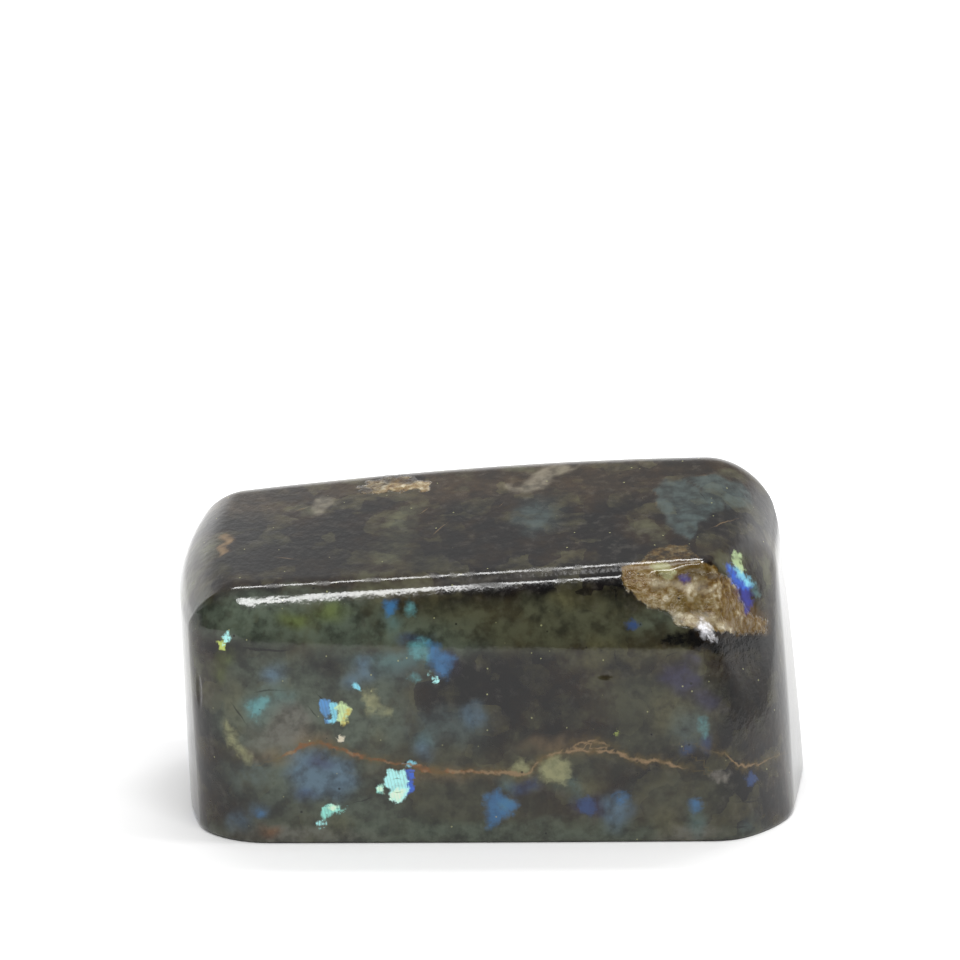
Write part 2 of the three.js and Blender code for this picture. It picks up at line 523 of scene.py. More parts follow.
VEILS = [
    # Soot on the front and brow is dark tone in the stone; the two long ovals on the top by the crest are
    # painted shade that stands in for a weaker sheen there.
    Tint(
        "dark_depths", Hue.SOOT, 0.8, 14,
        ovals(
            (538, 716, 38, 32), (540, 664, 34, 14), (356, 698, 9, 9), (341, 732, 10, 8),
            (630, 716, 16, 24), (520, 742, 40, 16), (544, 740, 24, 12), (500, 634, 24, 7),
            (410, 546, 90, 16), (290, 562, 90, 14),
        ),
    ),
    # Painted shade on the right cheek: soot that darkens where its polish reflects the floor.
    Tint("dark_cheek", Hue.SOOT, 0.7, 14, ovals((750, 690, 24, 64))),
    Tint("brow_moss", Hue.MOSS, 0.85, 12, ovals((530, 624, 140, 26))),
    Tint("brow_green", Hue.FERN, 0.85, 12, ovals((290, 618, 90, 27), (390, 634, 60, 13))),
    Tint(
        "left_cloud", Hue.FERN, 0.8, 20,
        ovals((280, 712, 62, 46), (306, 776, 66, 34), (366, 712, 40, 50), (350, 816, 60, 22)),
    ),
    Tint(
        "low_green", Hue.MOSS, 0.6, 16,
        ovals(
            (450, 838, 240, 9), (440, 766, 50, 36), (470, 812, 72, 26), (690, 704, 30, 40),
            (640, 700, 40, 24), (600, 826, 60, 10), (680, 800, 44, 28), (300, 826, 60, 10),
            (570, 764, 50, 16), (640, 742, 36, 12),
        ),
    ),
    Tint("foot_green", Hue.FERN, 0.75, 8, ovals((460, 833, 260, 11))),
    Tint("foot_pale", Hue.PEARL, 0.5, 6, ovals((296, 835, 70, 9), (690, 834, 30, 9))),
    Tint("pearl_cloud", Hue.PEARL, 0.6, 10, ovals((286, 727, 24, 24), (262, 736, 16, 14))),
    Tint(
        "top_dust", Hue.TAN, 0.12, 10,
        ovals((470, 486, 230, 14), (600, 470, 130, 10), (240, 504, 44, 12)),
    ),
    Tint(
        "grey_green", Hue.FERN, 0.55, 10,
        ovals(
            (238, 620, 28, 14), (262, 668, 40, 16), (655, 622, 20, 9), (340, 648, 30, 8),
            (460, 648, 24, 7), (250, 718, 22, 26), (376, 738, 20, 14),
        ),
    ),
    Tint(
        "yellow_green", Hue.OLIVE, 0.5, 7,
        ovals((297, 620, 16, 9), (330, 611, 14, 8), (223, 663, 8, 12), (740, 560, 4, 9, 20)),
    ),
    Tint("brow_gold", Hue.SAGE, 0.6, 7, ovals((566, 599, 17, 7))),
    # Painted sheen: pale grey along the narrow crest face between the two highlights, standing in for a soft
    # reflection there.
    Tint("crest_dust", Hue.PEARL, 0.25, 5, ovals((500, 578, 100, 5, -6.5))),
    Tint(
        "drab", Hue.SAGE, 0.5, 8,
        ovals(
            (234, 704, 9, 22), (600, 652, 15, 16), (664, 655, 46, 9), (379, 741, 8, 8),
            (586, 786, 18, 10), (668, 822, 14, 14), (340, 824, 8, 9), (672, 712, 20, 20),
        ),
    ),
    Tint(
        "blue_grey", Hue.SLATE, 0.55, 10,
        ovals(
            (392, 667, 38, 15), (445, 727, 40, 18), (253, 774, 19, 12), (690, 728, 18, 18),
            (476, 727, 8, 14), (750, 826, 8, 6), (536, 516, 20, 14),
        ),
    ),
    Tint(
        "soft_teal", Hue.TEAL, 0.55, 9,
        ovals(
            (392, 660, 30, 9), (427, 740, 8, 7), (506, 785, 7, 7), (571, 789, 12, 6, 30),
            (391, 622, 5, 9), (696, 822, 4, 9),
        ) + (
            shard(242, 697, 264, 692, 293, 692, 289, 704, 272, 706, 264, 714, 260, 727, 248, 717),
        ),
    ),
    Tint(
        "soft_blue", Hue.STEEL, 0.8, 9,
        ovals(
            (364, 667, 8, 11), (275, 674, 10, 10), (353, 680, 7, 6), (426, 749, 6, 8), (240, 821, 9, 7),
            (260, 813, 5, 4), (616, 812, 15, 14), (474, 718, 7, 8),
        ) + (
            shard(290, 756, 320, 748, 352, 760, 356, 782, 340, 797, 296, 796, 286, 776),
        ),
    ),
    Tint(
        "soft_violet", Hue.VIOLET, 0.65, 6,
        ovals(
            (691, 659, 9, 6), (708, 701, 15, 8, 30), (322, 762, 12, 7), (588, 806, 14, 10),
            (451, 662, 6, 10),
        ) + (
            shard(665, 667, 683, 663, 700, 674, 700, 686, 689, 695, 668, 686, 660, 678),
        ),
    ),
    Tint(
        "deep_blue", Hue.INDIGO, 0.6, 5,
        ovals(
            (306, 796, 12, 5), (523, 787, 17, 8), (415, 639, 15, 5), (708, 743, 5, 6),
            (690, 748, 6, 5, 30),
        ),
    ),
    Tint(
        "stain", Hue.TAN, 0.4, 8,
        ovals((314, 737, 14, 8), (268, 757, 17, 6), (440, 774, 32, 5), (560, 745, 30, 6)),
    ),
    Tint("rust_spot", Hue.RUST, 0.6, 4, ovals((268, 833, 9, 5))),
    Tint(
        "pale_clouds", Hue.CREAM, 0.2, 3,
        (
            shard(502, 486, 520, 484, 533, 473, 554, 465, 579, 463, 554, 477, 537, 489, 512, 491),
            shard(310, 507, 314, 499, 330, 496, 338, 502, 332, 509, 316, 512),
        ),
    ),
    Tint(
        "slate_grain", Hue.SLATE, 0.6, 2.5,
        (
            shard(
                652, 489, 666, 482, 687, 477, 697, 490, 720, 496, 722, 509, 702, 522, 693, 538, 676, 534,
                666, 517, 657, 498,
            ),
            shard(690, 478, 714, 474, 742, 486, 752, 506, 728, 510, 704, 494),
        ),
    ),
    Tint("buff", Hue.TAN, 0.7, 2.5, (shard(218, 549, 226, 534, 232, 536, 228, 548, 219, 556),)),
    Tint(
        "pocket_floor", Hue.OLIVE_GOLD, 0.75, 4,
        (shard(648, 595, 690, 595, 728, 600, 730, 609, 690, 610, 656, 604),),
    ),
    Tint(
        "pocket_shade", Hue.UMBER, 0.65, 4,
        ovals((757, 607, 8, 10)) + (
            shard(676, 562, 700, 560, 716, 566, 726, 578, 716, 578, 700, 576, 688, 573, 676, 573),
            shard(686, 546, 702, 546, 706, 555, 690, 556),
        ),
    ),
    # Painted highlight: pale cream along the band where the lamp sparkles on the crust, and on the pocket's
    # lip that faces up into the light.
    Tint(
        "pocket_pale", Hue.CREAM, 0.3, 3,
        (
            shard(650, 578, 664, 582, 690, 579, 716, 586, 714, 592, 676, 590, 652, 588),
            shard(668, 611, 690, 609, 714, 618, 738, 621, 734, 630, 700, 629, 678, 622),
        ),
    ),
    Tint(
        "pocket_brown", Hue.BROWN, 0.65, 4,
        (
            shard(716, 590, 736, 586, 744, 612, 724, 614),
            shard(624, 566, 648, 562, 652, 600, 634, 598),
            shard(738, 604, 766, 612, 768, 636, 736, 634, 728, 622),
        ),
    ),
    Tint(
        "pocket_cap", Hue.SMOKE, 0.9, 5,
        ovals((736, 544, 20, 9)) + (
            shard(636, 552, 656, 541, 690, 540, 708, 552, 706, 560, 676, 562, 640, 566),
        ),
    ),
    Tint(
        "scab_shade", Hue.SMOKE, 0.9, 3,
        (shard(354, 490, 366, 478, 398, 472, 430, 480, 396, 484, 374, 494),),
    ),
]

# Flashes in the stone, and among them a painted shade and a painted highlight by the pocket.
FLASHES = [
    Tint(
        "khaki", Hue.KHAKI, 0.75, 5.0,
        ovals((388, 711, 3.5, 3)) + (
            shard(362, 692, 373, 691, 378, 698, 377, 713, 368, 713, 366, 702),
            shard(540, 762, 554, 754, 565, 758, 572, 775, 565, 783, 552, 782, 540, 779),
            shard(512, 770, 520, 761, 530, 764, 531, 773, 518, 776),
            shard(225, 723, 236, 732, 239, 744, 251, 757, 252, 764, 245, 759, 234, 747, 227, 738),
        ),
    ),
    Tint(
        "sea", Hue.SEA, 0.7, 5.0,
        ovals((410, 608, 3.5, 5), (415, 677, 4, 4), (505, 805, 6, 5)) + (
            shard(407, 646, 417, 640, 429, 642, 431, 656, 425, 660, 410, 654),
            shard(247, 703, 258, 698, 268, 700, 262, 710, 256, 718, 250, 712),
            shard(700, 719, 704, 718, 707, 727, 705, 735, 701, 730),
        ),
    ),
    Tint(
        "wide_blue", Hue.BLUE, 0.9, 5.0,
        ovals((623, 798, 6, 4), (260, 813, 3, 3)) + (
            shard(427, 644, 436, 644, 444, 652, 455, 658, 452, 667, 446, 679, 438, 675, 431, 663),
            shard(485, 796, 497, 790, 510, 800, 518, 804, 512, 813, 497, 823, 489, 828, 486, 813),
            shard(689, 804, 696, 799, 702, 803, 699, 811, 695, 814, 691, 809),
            shard(384, 603, 397, 601, 396, 609, 390, 615, 386, 611),
        ),
    ),
    Tint(
        "dark_blue", Hue.INDIGO, 0.85, 2.5,
        (
            shard(625, 624, 632, 618, 639, 622, 637, 629, 628, 629),
            shard(746, 776, 752, 772, 756, 778, 754, 786, 748, 786),
            shard(577, 800, 588, 796, 594, 801, 597, 812, 588, 816, 579, 809),
        ),
    ),
    Tint(
        "blue", Hue.AZURE, 1.0, 1.5,
        (shard(319, 700, 331, 699, 331, 722, 326, 722, 320, 713),),
        streaked=True,
    ),
    Tint("royal", Hue.ROYAL, 1.0, 1.5, (shard(406, 769, 415, 768, 414, 784, 411, 793, 405, 795),)),
    Tint("pearl", Hue.PEARL, 0.8, 4.0, (shard(710, 776, 717, 771, 729, 773, 726, 781, 716, 784),)),
    Tint(
        "sky", Hue.SKY, 1.0, 1.5,
        (
            shard(330, 701, 338, 702, 338, 724, 330, 722),
            shard(403, 764, 415, 761, 415, 766, 406, 767),
            shard(347, 683, 356, 684, 362, 690, 353, 690),
        ),
        streaked=True,
    ),
    Tint(
        "straw", Hue.STRAW, 1.0, 1.5,
        (shard(337, 702, 346, 702, 351, 711, 349, 720, 337, 724),),
        streaked=True,
    ),
    Tint("amber", Hue.AMBER, 0.9, 2.0, (shard(346, 707, 351, 711, 348, 722, 341, 724, 345, 716),)),
    Tint(
        "lime", Hue.LIME, 0.9, 1.5,
        ovals((618, 733, 2.5, 2)) + (
            shard(215, 642, 223, 638, 228, 642, 225, 650, 220, 647),
        ),
    ),
    Tint(
        "mint", Hue.MINT, 1.0, 1.5,
        (
            shard(
                323, 806, 331, 802, 339, 808, 346, 807, 346, 814, 339, 812, 331, 815, 324, 819, 321, 816,
            ),
            shard(375, 787, 381, 783, 384, 788, 381, 794, 377, 794),
        ),
        streaked=True,
    ),
    Tint(
        "ice", Hue.ICE, 1.0, 1.3,
        (
            shard(
                386, 772, 391, 770, 404, 770, 408, 780, 407, 791, 404, 798, 395, 803, 390, 800, 388, 790,
                384, 785,
            ),
            shard(222, 637, 229, 632, 230, 642, 224, 644),
            shard(427, 671, 434, 676, 439, 678, 439, 683, 431, 681),
            shard(316, 823, 322, 819, 327, 825, 322, 831),
        ),
        streaked=True,
    ),
    Tint(
        "frost", Hue.FROST, 0.9, 2.0,
        (
            shard(389, 791, 398, 789, 404, 791, 401, 798, 395, 802, 390, 799),
            shard(376, 788, 381, 784, 383, 789, 380, 793),
            shard(326, 806, 332, 803, 338, 808, 332, 812),
        ),
        streaked=True,
    ),
    # Painted shade: soot on the band under the pocket's lip, standing in for the dark reflection there.
    Tint(
        "dark_lip", Hue.SOOT, 1.0, 3.0,
        (
            shard(
                660, 641, 676, 632, 694, 632, 710, 642, 724, 637, 753, 636, 772, 638, 772, 646, 754, 648,
                738, 652, 724, 654, 709, 651, 696, 648, 675, 647,
            ),
        ),
    ),
    Tint("cream", Hue.CREAM, 0.95, 1.3, (shard(337, 737, 341, 734, 347, 737, 345, 740, 339, 740),)),
    Tint(
        "pocket_teal", Hue.TEAL, 0.8, 3.0,
        (shard(744, 572, 752, 582, 760, 595, 757, 597, 750, 590, 744, 580),),
    ),
    Tint(
        "pocket_violet", Hue.DEEP_BLUE, 1.0, 4.0,
        ovals((685, 579, 4, 3)) + (
            shard(735, 583, 748, 583, 752, 596, 750, 612, 746, 612, 741, 600),
        ),
    ),
    Tint(
        "pocket_blue", Hue.ROYAL, 1.0, 4.0,
        (shard(726, 566, 732, 565, 744, 576, 751, 588, 744, 590, 733, 583),),
    ),
    Tint(
        "pocket_sky", Hue.SKY, 1.0, 2.5,
        (shard(731, 566, 737, 567, 745, 575, 752, 585, 747, 585, 738, 576),),
    ),
    Tint(
        "pocket_straw", Hue.STRAW, 0.7, 2.0,
        (shard(733, 553, 741, 554, 741, 564, 745, 571, 741, 571, 733, 564),),
    ),
    Tint(
        "pocket_mint", Hue.KHAKI, 0.9, 2.0,
        (shard(650, 567, 664, 563, 668, 566, 676, 572, 672, 579, 663, 580, 657, 572),),
    ),
    # Painted highlight: a white spot on the pocket's lower lip, where the front lamp shines.
    Tint("pocket_glint", Hue.SILVER, 1.0, 4.0, ovals((705, 630, 6, 8.5, -20), (711, 637, 3, 2, 35))),
]

WORN_LINES = (
    ((420, 577), ((272, 7), (322, 8), (373, 7), (434, 6), (453, 4), (469, 6), (545, 14), (578, 4), (622, 6))),
    ((420, 589), ((489, 16), (563, 7))),
)
WORN_SLOPE = -0.062
WORN_HALF_WIDTH = 2.2

POCKET_CRUST = shard(
    622, 568, 636, 564, 655, 550, 672, 544, 687, 546, 702, 559, 716, 568, 725, 576, 735, 585, 742, 602,
    752, 616, 765, 620, 767, 631, 744, 634, 723, 632, 700, 630, 679, 625, 669, 613, 649, 606, 636, 598,
    624, 585,
)
SCAB = shard(
    358, 489, 368, 482, 383, 477, 400, 475, 412, 479, 429, 482, 430, 487, 425, 492, 410, 489, 396, 491,
    383, 492, 364, 492,
)

VEINS = [
    Line((
        (274, 760, -1.0), (287, 755, 1.5), (302, 746, 2.2), (318, 742, 1.6), (329, 746, 1.2),
        (345, 751, 1.6), (362, 757, 1.4), (381, 761, 1.2), (406, 764, 0.8), (421, 768, 2.0),
        (437, 771, 2.2), (457, 771, 1.6), (483, 772, 1.4), (510, 773, 1.8), (527, 775, 1.2),
        (537, 764, 0.8), (545, 756, 0.8), (561, 751, 1.4), (584, 751, 1.0), (600, 752, 1.4),
        (615, 751, 1.6), (626, 757, 1.8), (645, 762, 2.0), (655, 759, 1.4), (672, 765, 1.8),
        (690, 769, -1.0),
    )),
    Line(((565, 749, -1.0), (574, 745, 0.8), (588, 741, 0.8), (604, 743, 0.6), (617, 750, -1.0))),
    Line((
        (704, 748, -1.5), (725, 754, 0.5), (735, 763, 0.7), (744, 767, 0.8), (758, 764, 0.6),
        (778, 756, -0.5),
    )),
]

CRACKS = [
    Line(((234, 646, -1.0), (251, 649, 1.2), (280, 651, 1.0), (300, 648, -1.0))),
    Line(((226, 695, -1.0), (237, 711, 0.9), (256, 738, -1.0))),
    Line(((243, 695, -1.0), (264, 690, 0.8), (292, 691, -0.5))),
    Line(((300, 697, -1.0), (314, 713, 0.7), (322, 723, -1.0))),
    Line(((311, 689, -1.0), (322, 698, 0.8), (326, 702, -1.0))),
    Line(((615, 644, -1.0), (615, 656, 0.6), (616, 671, -1.0))),
    Line(((720, 802, -1.0), (748, 802, 0.9), (771, 799, -0.5))),
    Line(((722, 827, -1.0), (740, 827, 0.8), (758, 826, -1.0))),
    Line(((696, 488, -1.0), (702, 495, 0.6), (710, 505, -1.0))),
    Line(((742, 525, -1.0), (748, 538, 1.0), (753, 554, -1.0))),
    Line(((755, 530, -1.0), (762, 541, 0.9), (770, 558, -1.0))),
    Line(((386, 781, -1.0), (397, 778, 0.5), (409, 781, -1.0))),
    Line(((388, 790, -1.0), (398, 793, 0.5), (408, 789, -1.0))),
    Line(((340, 806, -1.0), (366, 800, 0.7), (380, 794, -1.0))),
    Line(((660, 666, -1.0), (668, 655, 0.6), (690, 650, -1.0))),
]

SCRATCHES = [
    Line(((428, 540, -0.8), (438, 530, 0.5), (456, 516, -0.8))),
    Line(((416, 517, -0.8), (424, 511, 0.4), (432, 505, -0.8))),
    Line(((703, 532, -0.8), (722, 523, 0.6), (748, 516, -0.6))),
    Line(((289, 514, -0.8), (302, 509, 0.4), (314, 505, -0.8))),
    Line(((268, 556, -0.8), (285, 558, 0.3), (312, 561, -0.8))),
    Line(((497, 508, -0.8), (501, 505, 0.4), (505, 501, -0.8))),
]


@dataclass(frozen=True)
class PolishedLabradorite:
    """The stone's finish: dark feldspar with cloudy grains, flashes, a rust vein and a high polish, with
    painted shade and painted highlights in places.
    """

    polish: float = 0.11
    dulled: float = 0.2
    weathered: float = 0.2
    refraction: float = 1.46
    raggedness: float = 11.0
    shard_size: float = 1.1
    grain_size: float = 5.0
    hidden_grain_size: float = 5.5
    hidden_patch_size: float = 16.0
    cloud_size: float = 12.0
    mottle_size: float = 1.7
    patch_size: float = 3.2
    body_warp_size: float = 4.0
    body_cloud_size: float = 3.0
    hidden_warp_size: float = 2.0
    warp_reach: float = 3.0
    hidden_cover: float = 0.7
    lamella_pitch: float = 0.55
    lamella_direction: Point = (0.97, 0.1, 0.22)
    polishing_marks: float = 0.04
    polishing_stretch: Point = (1.0, 0.7, 0.7)
    ragged_size: float = 1.2
    facet_step: float = 2.5
    wander_size: float = 1.3
    wander_reach: float = 9.0
    vein_cloud_size: float = 2.4
    vein_dullness: float = 0.12
    crack_cover: float = 0.75
    scratch_cover: float = 0.5
    speck_cover: float = 0.8
    crust_raggedness: float = 14.0
    worn_raggedness: float = 6.0
    edge_softness: float = 1.5
    crust_grain_size: float = 1.0
    olive_patch_size: float = 4.0
    grit_size: float = 0.8
    grit_height: float = 0.4

    def material(self) -> bpy.types.Material:
        """Builds the material.

        Returns:
            A material for the block.
        """
        made = bpy.data.materials.new("polished_labradorite")
        made.use_nodes = True
        graph = Graph(made.node_tree)
        place = graph.scaled(graph.node("TexCoord", output="Object"), 1 / MM)
        fine = graph.clouds(place, self.mottle_size, 4.0)
        gold = self._ragged(graph, "crust", fine, self.crust_raggedness)
        grit = self._ragged(graph, "grit", fine, self.crust_raggedness)
        colour = self._body(graph, place, fine)
        colour = self._hidden_flashes(graph, place, colour)
        colour = self._crust(graph, place, gold, colour)
        mottle = graph.rise(fine, 0.3, 0.6, 0.62, 1.0)
        veil = graph.node("Attribute", {"attribute_name": "veil"}, output="Color")
        cover = graph.node("Attribute", {"attribute_name": "veil"}, output="Alpha")
        patches = graph.rise(graph.clouds(place, self.patch_size, 5.0), 0.36, 0.56, 0.5, 1.0)
        colour = graph.blend(cover * mottle * patches, colour, veil)
        colour = self._flashes(graph, place, mottle, colour)
        wander = (graph.clouds(place, self.wander_size, 4.0) - 0.5) * self.wander_reach
        colour, vein = self._vein(graph, place, wander, colour)
        cracks = self._line(graph, "cracks", wander * 0.4) * self.crack_cover
        colour = graph.blend(cracks, colour, Hue.SOOT.linear)
        scratches = self._line(graph, "scratches", wander * 0.3) * self.scratch_cover
        colour = graph.blend(scratches, colour, Hue.TAN.linear)
        colour = self._specks(graph, place, colour)
        worn = self._ragged(graph, "worn", fine, self.worn_raggedness)
        roughness = self.polish + self.vein_dullness * vein + self.weathered * grit + self.dulled * worn
        shader = graph.node(
            "BsdfPrincipled",
            inputs={
                "Base Color": colour,
                "Roughness": roughness,
                "IOR": self.refraction,
                "Normal": self._bump(graph, place, grit),
            },
        )
        graph.node("OutputMaterial", inputs={"Surface": shader})
        return made

    def _value(self, graph: Graph, name: str) -> Socket:
        """A value that the mesh holds at each of its points."""
        return graph.node("Attribute", {"attribute_name": name}, output="Fac")

    def _ragged(self, graph: Graph, name: str, fine: Socket, raggedness: float) -> Socket:
        """How much of an area shows whose depth the mesh holds, with a ragged edge."""
        depth = self._value(graph, name) + (fine - 0.5) * raggedness
        return graph.rise(depth, -self.edge_softness, self.edge_softness)

    def _warped(self, graph: Graph, place: Socket, size: float) -> Socket:
        """Places pushed about by clouds of that size, so that cells among them get crooked edges."""
        push = graph.scaled(graph.clouds(place, size, 3.0, 1), self.warp_reach)
        return graph.vector("ADD", place, push)

    def _bump(self, graph: Graph, place: Socket, grit: Socket) -> Socket:
        """Fine polishing marks that run up the stone, and grit on the crust."""
        stretched = graph.vector("MULTIPLY", place, self.polishing_stretch)
        marks = graph.clouds(stretched, 1.0, 2.0) * self.polishing_marks
        grains = graph.clouds(place, self.grit_size, 3.0) * grit * self.grit_height
        return graph.node("Bump", inputs={"Strength": 1.0, "Distance": MM, "Height": marks + grains})

    def _body(self, graph: Graph, place: Socket, fine: Socket) -> Socket:
        """The dark cloudy feldspar under everything else."""
        clouds = graph.clouds(place, self.cloud_size, 4.0)
        tone = graph.ramp(clouds, (0.32, Hue.SOOT), (0.46, Hue.SMOKE), (0.58, Hue.DUSK), (0.72, Hue.MOSS))
        moved = self._warped(graph, place, self.body_warp_size)
        grains = graph.cells(moved, self.grain_size)[0]
        cell_tone = grains * 0.4 + 0.6 * graph.clouds(place, self.body_cloud_size, 5.0)
        tone = graph.blend(graph.rise(cell_tone, 0.5, 0.8) * 0.35, tone, Hue.SAGE.linear)
        tone = graph.blend(graph.rise(cell_tone, 0.46, 0.25) * 0.5, tone, Hue.SOOT.linear)
        return graph.blend(graph.rise(fine, 0.5, 0.75) * 0.15, tone, Hue.PEARL.linear)

    def _flashes(self, graph: Graph, place: Socket, mottle: Socket, colour: Socket) -> Socket:
        """Lays the flashes over a colour, one after another; a painted shade under the pocket's lip and a
        painted highlight on it are among them.

        Args:
            graph: The material's nodes.
            place: Places in millimetres.
            mottle: How evenly the flashes show.
            colour: What lies under the flashes.

        Returns:
            The colour with the flashes.
        """
        product = {"operation": "DOT_PRODUCT"}
        across = graph.node("VectorMath", product, {0: place, 1: self.lamella_direction}, 1)
        wave = graph.node("Math", {"operation": "SINE"}, {0: across * (2 * math.pi / self.lamella_pitch)})
        streaks = graph.rise(wave, -0.9, 0.1, 0.8, 1.0)
        facet = graph.cells(place, self.shard_size)[0]
        clouds = graph.clouds(place, self.ragged_size, 4.0)
        ragged = (clouds - 0.5) * self.raggedness + (facet - 0.5) * self.facet_step
        even = graph.rise(facet, 0.0, 0.6, 0.86, 1.0)
        mottle = mottle * even
        streaks = streaks * even
        for flash in FLASHES:
            depth = self._value(graph, "flash_" + flash.name) + ragged
            cover = graph.rise(depth, -flash.softness, flash.softness, 0.0, flash.cover)
            colour = graph.blend(cover * (streaks if flash.streaked else mottle), colour, flash.hue.linear)
        return colour

    def _hidden_flashes(self, graph: Graph, place: Socket, colour: Socket) -> Socket:
        """Scattered flashes for the back and the ends, where none are placed."""
        moved = self._warped(graph, place, self.hidden_warp_size)
        pick, tint, _ = graph.cells(moved, self.hidden_grain_size)
        blues = (0.15, Hue.DEEP_BLUE), (0.40, Hue.STEEL)
        greens = (0.60, Hue.TEAL), (0.80, Hue.SEA), (0.95, Hue.KHAKI)
        hues = graph.ramp(tint, *blues, *greens)
        patches = graph.rise(graph.clouds(place, self.hidden_patch_size, 2.0), 0.48, 0.6)
        cover = graph.rise(pick, 0.62, 0.72) * self._value(graph, "unseen") * patches * self.hidden_cover
        return graph.blend(cover, colour, hues)

    def _line(self, graph: Graph, name: str, wander: Socket, margin: float = 0.7) -> Socket:
        """How much a set of lines covers.

        Args:
            graph: The material's nodes.
            name: The set's name.
            wander: How far the lines stray, in pixels of the view.
            margin: How softly their edges fade, in pixels of the view.

        Returns:
            The cover from 0 to 1.
        """
        inside = self._value(graph, name + "_width") - abs(self._value(graph, name + "_gap") + wander)
        return graph.rise(inside, -margin, margin)

    def _vein(self, graph: Graph, place: Socket, wander: Socket, colour: Socket) -> tuple[Socket, Socket]:
        """Lays the rust vein over a colour.

        Args:
            graph: The material's nodes.
            place: Places in millimetres.
            wander: How far the vein strays, in pixels of the view.
            colour: What lies under the vein.

        Returns:
            The colour with the vein, and how much of it is vein.
        """
        clouds = graph.clouds(place, self.vein_cloud_size, 4.0)
        thread = self._line(graph, "veins", wander, 1.2) * graph.rise(clouds, 0.36, 0.52, 0.2, 0.9)
        stain = self._line(graph, "veins", wander * 1.6, 9.0) * graph.rise(clouds, 0.62, 0.4, 0.25, 0.9)
        across = graph.node("SeparateXYZ", inputs={0: place}, output="X")
        pale = graph.rise(across, -16.0, 14.0, 0.0, 0.22) + clouds
        tint = graph.blend(graph.rise(pale, 0.48, 0.64), Hue.RUST.linear, Hue.TAN.linear)
        colour = graph.blend(stain, colour, Hue.OLIVE_GOLD.linear)
        return graph.blend(thread, colour, tint), thread

    def _specks(self, graph: Graph, place: Socket, colour: Socket) -> Socket:
        """Tiny pale and dark specks."""
        for size, share, tone in ((1.5, 0.88, Hue.KHAKI), (2.2, 0.8, Hue.SOOT)):
            cells = graph.node("TexVoronoi", inputs={"Vector": place, "Scale": 1 / size})
            colours = Socket(graph, cells.output.node.outputs["Color"])
            chosen = graph.parts("SeparateColor", colours)[0]
            dot = graph.rise(cells, 0.13, 0.07) * graph.rise(chosen, share, share + 0.02)
            colour = graph.blend(dot * self.speck_cover, colour, tone.linear)
        return colour

    def _crust(self, graph: Graph, place: Socket, gold: Socket, colour: Socket) -> Socket:
        """Lays the gold and brown crust of the natural hollows over a colour, with painted shade between its
        lumps and painted highlights on their tops.

        Args:
            graph: The material's nodes.
            place: Places in millimetres.
            gold: How much of the crust shows.
            colour: What lies under the crust.

        Returns:
            The colour with the crust.
        """
        grains = graph.clouds(place, self.crust_grain_size, 5.0)
        # Part of the crust's tone follows the lumps' height: painted shade low between lumps, painted
        # highlight on their tops; the rest is the crust's own grain.
        lumps = self._value(graph, "lumps") * 0.4 + 0.6 * grains
        browns = (0.34, Hue.UMBER), (0.45, Hue.BROWN)
        crust = graph.ramp(lumps, *browns, (0.55, Hue.GOLD), (0.68, Hue.CREAM))
        olive = graph.rise(graph.clouds(place, self.olive_patch_size, 3.0), 0.48, 0.62) * 0.5
        crust = graph.blend(olive, crust, Hue.OLIVE_GOLD.linear)
        return graph.blend(gold, colour, crust)


